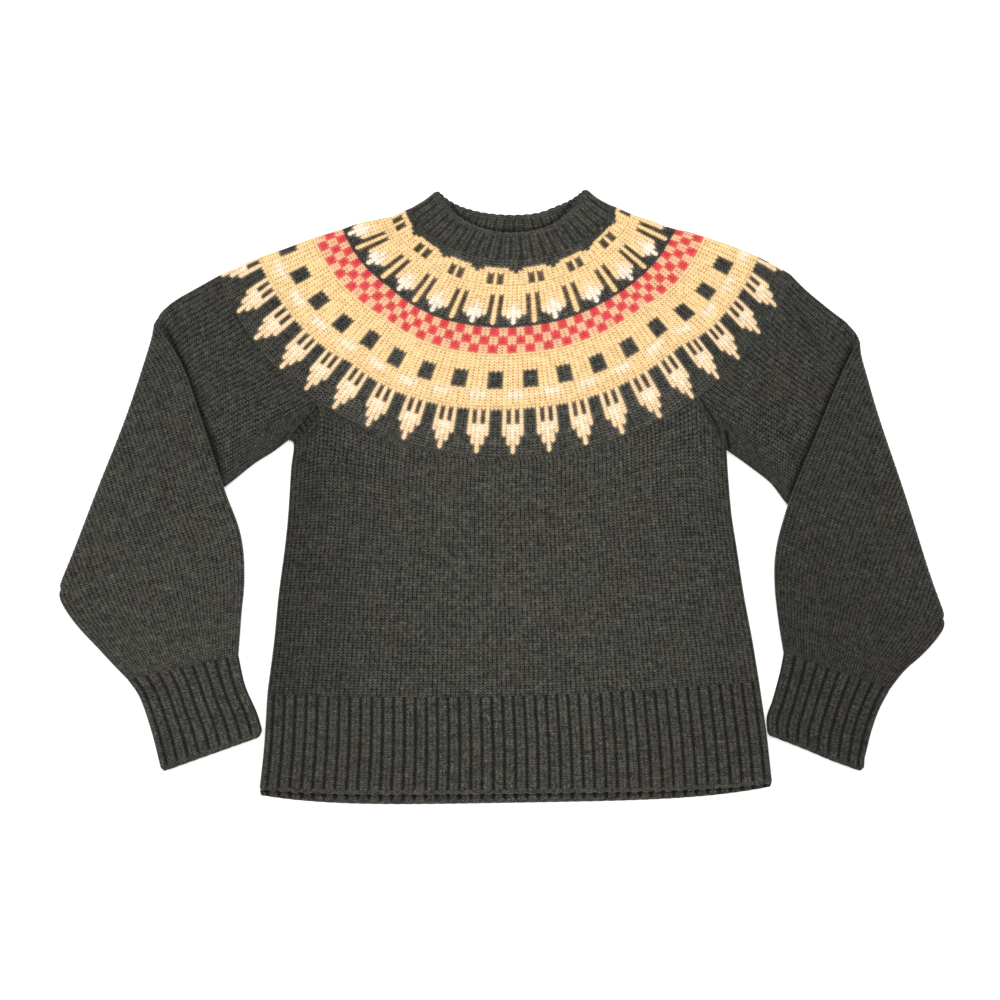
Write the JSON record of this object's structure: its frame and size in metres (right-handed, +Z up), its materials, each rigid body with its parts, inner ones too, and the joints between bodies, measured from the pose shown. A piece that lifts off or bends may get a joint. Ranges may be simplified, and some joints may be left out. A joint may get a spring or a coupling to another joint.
{
  "type": "fair isle jumper",
  "caption": "Long-sleeved knitted jumper with a round patterned yoke and ribbed neck, hem and cuffs, lying flat with both sleeves folded over.",
  "frame": {"origin": "centre of the laid jumper's outline, on the surface that it lies on", "axes": "+X across the jumper to the viewer's right, +Y up towards the neck, +Z up from the surface through the front"},
  "size_m": [0.8802, 0.6113, 0.0146],
  "materials": {
    "charcoal_wool": "matt heathered charcoal-olive wool stockinette",
    "charcoal_rib": "matt heathered charcoal-olive wool rib",
    "yoke_colourwork": "soft slightly brushed stranded colourwork in tan, cream, coral red and charcoal wool"
  },
  "bodies": {
    "root": {"body_front": "charcoal_wool", "body_back": "charcoal_wool", "sleeve_left": "charcoal_wool", "sleeve_right": "charcoal_wool", "hem_rib_front": "charcoal_rib", "hem_rib_back": "charcoal_rib", "cuff_left": "charcoal_rib", "cuff_right": "charcoal_rib", "neckband": "charcoal_rib", "yoke": "yoke_colourwork"}
  },
  "joints": []
}
